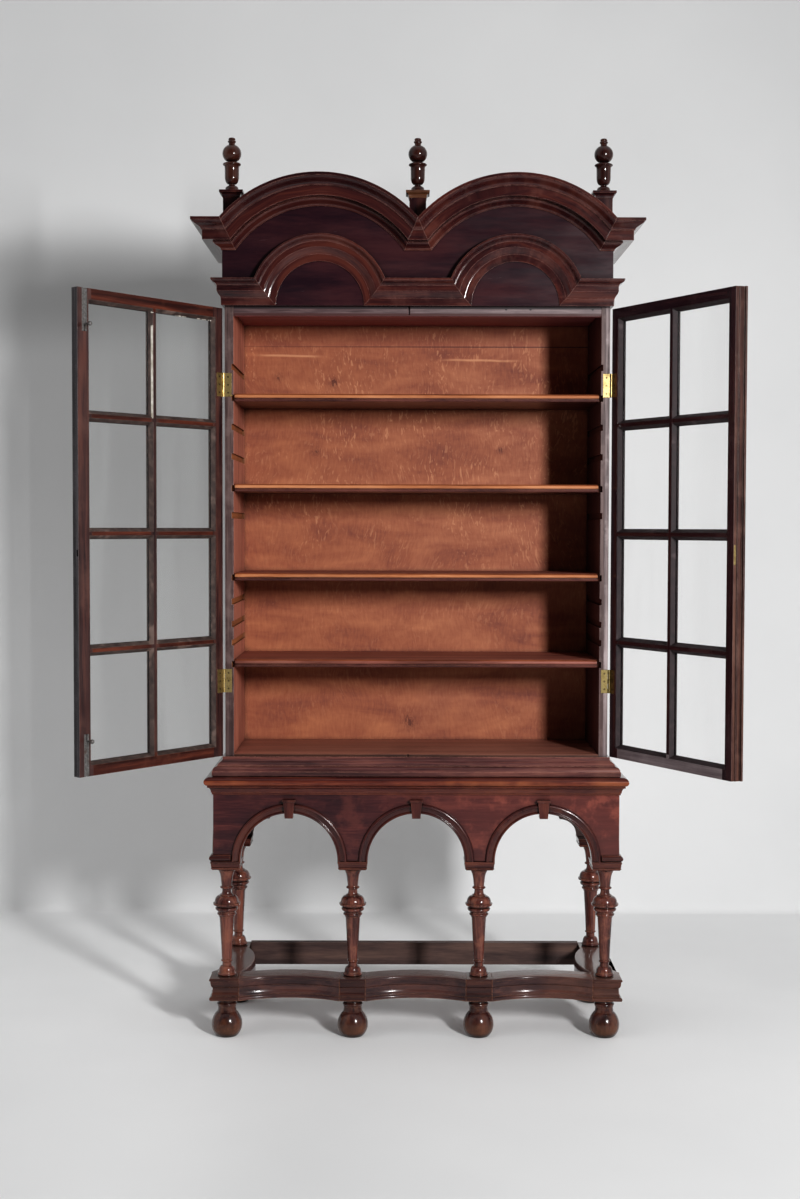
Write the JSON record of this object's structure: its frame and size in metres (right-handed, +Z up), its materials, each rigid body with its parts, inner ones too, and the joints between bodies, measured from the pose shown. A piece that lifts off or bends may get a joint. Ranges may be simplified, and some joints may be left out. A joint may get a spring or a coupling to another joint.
{
  "type": "china cabinet",
  "caption": "Double-domed china cabinet with glazed doors, moulded cornices and open shelves, on an arcaded stand with turned legs and bowed stretchers.",
  "frame": {"origin": "middle of the footprint of the whole object, its doors open as in the picture, at floor level", "axes": "+X to the right along the front, -Y out of the front, +Z up"},
  "size_m": [1.5588, 0.8015, 2.3],
  "materials": {
    "walnut": "dark red-brown veneer under old polish",
    "stand_wood": "turned and moulded wood, polished, worn on its edges",
    "interior_wood": "bare orange-brown boards",
    "brass": "dull",
    "iron": "dark, worn",
    "glass": "clear, old",
    "putty": "painted putty"
  },
  "bodies": {
    "cabinet": {"foot_1": "stand_wood", "foot_2": "stand_wood", "foot_3": "stand_wood", "foot_4": "stand_wood", "foot_5": "stand_wood", "foot_6": "stand_wood", "leg_1": "stand_wood", "leg_2": "stand_wood", "leg_3": "stand_wood", "leg_4": "stand_wood", "leg_5": "stand_wood", "leg_6": "stand_wood", "stretcher_blocks": "walnut", "front_stretchers": "walnut", "side_stretchers": "walnut", "rear_stretcher": "walnut", "front_apron": "walnut", "side_aprons": "walnut", "rear_apron": "walnut", "rear_brackets": "walnut", "arch_mouldings": "stand_wood", "keystones": "stand_wood", "capitals": "stand_wood", "stand_moulding": "stand_wood", "case_side_left": "walnut", "case_side_right": "walnut", "case_top": "interior_wood", "case_floor": "interior_wood", "top_rail": "walnut", "back_boards": "interior_wood", "base_moulding": "walnut", "case_hinges": "brass", "hood_front": "walnut", "hood_box": "walnut", "string_course": "walnut", "string_arches": "walnut", "cornice_ends": "walnut", "cornice_arches": "walnut", "dome_boards": "walnut", "plinths": "walnut", "finials": "stand_wood"},
    "left_door": {"left_door_frame": "walnut", "left_door_bars": "walnut", "left_door_glass": "glass", "left_door_putty": "putty", "left_door_hinges": "brass", "bolt_plates": "iron"},
    "right_door": {"right_door_frame": "walnut", "right_door_bars": "walnut", "right_door_glass": "glass", "right_door_putty": "putty", "right_door_hinges": "brass", "door_lock": "brass"},
    "top_bolt": {"top_bolt": "iron"},
    "bottom_bolt": {"bottom_bolt": "iron"},
    "lock_bolt": {"lock_bolt": "brass"},
    "shelf_1": {"shelf_1": "interior_wood"},
    "shelf_2": {"shelf_2": "interior_wood"},
    "shelf_3": {"shelf_3": "interior_wood"},
    "shelf_4": {"shelf_4": "interior_wood"}
  },
  "joints": [
    {"name": "left_door_hinge", "type": "hinge", "parent": "cabinet", "child": "left_door", "pos_m": [-0.46757, 0.03685, 1.296], "axis": [0, 0, -1], "range_deg": [-127, 53]},
    {"name": "right_door_hinge", "type": "hinge", "parent": "cabinet", "child": "right_door", "pos_m": [0.51943, 0.03685, 1.296], "axis": [0, 0, 1], "range_deg": [-118, 62]},
    {"name": "top_bolt_slide", "type": "slide", "parent": "left_door", "child": "top_bolt", "axis": [0, 0, 1], "range_m": [0, 0.01]},
    {"name": "bottom_bolt_slide", "type": "slide", "parent": "left_door", "child": "bottom_bolt", "axis": [0, 0, -1], "range_m": [0, 0.01]},
    {"name": "lock_bolt_slide", "type": "slide", "parent": "right_door", "child": "lock_bolt", "axis": [0.4695, -0.8829, 0], "range_m": [0, 0.008]},
    {"name": "shelf_1_slide", "type": "slide", "parent": "cabinet", "child": "shelf_1", "axis": [0, -1, 0], "range_m": [0, 0.25]},
    {"name": "shelf_2_slide", "type": "slide", "parent": "cabinet", "child": "shelf_2", "axis": [0, -1, 0], "range_m": [0, 0.25]},
    {"name": "shelf_3_slide", "type": "slide", "parent": "cabinet", "child": "shelf_3", "axis": [0, -1, 0], "range_m": [0, 0.25]},
    {"name": "shelf_4_slide", "type": "slide", "parent": "cabinet", "child": "shelf_4", "axis": [0, -1, 0], "range_m": [0, 0.25]}
  ]
}
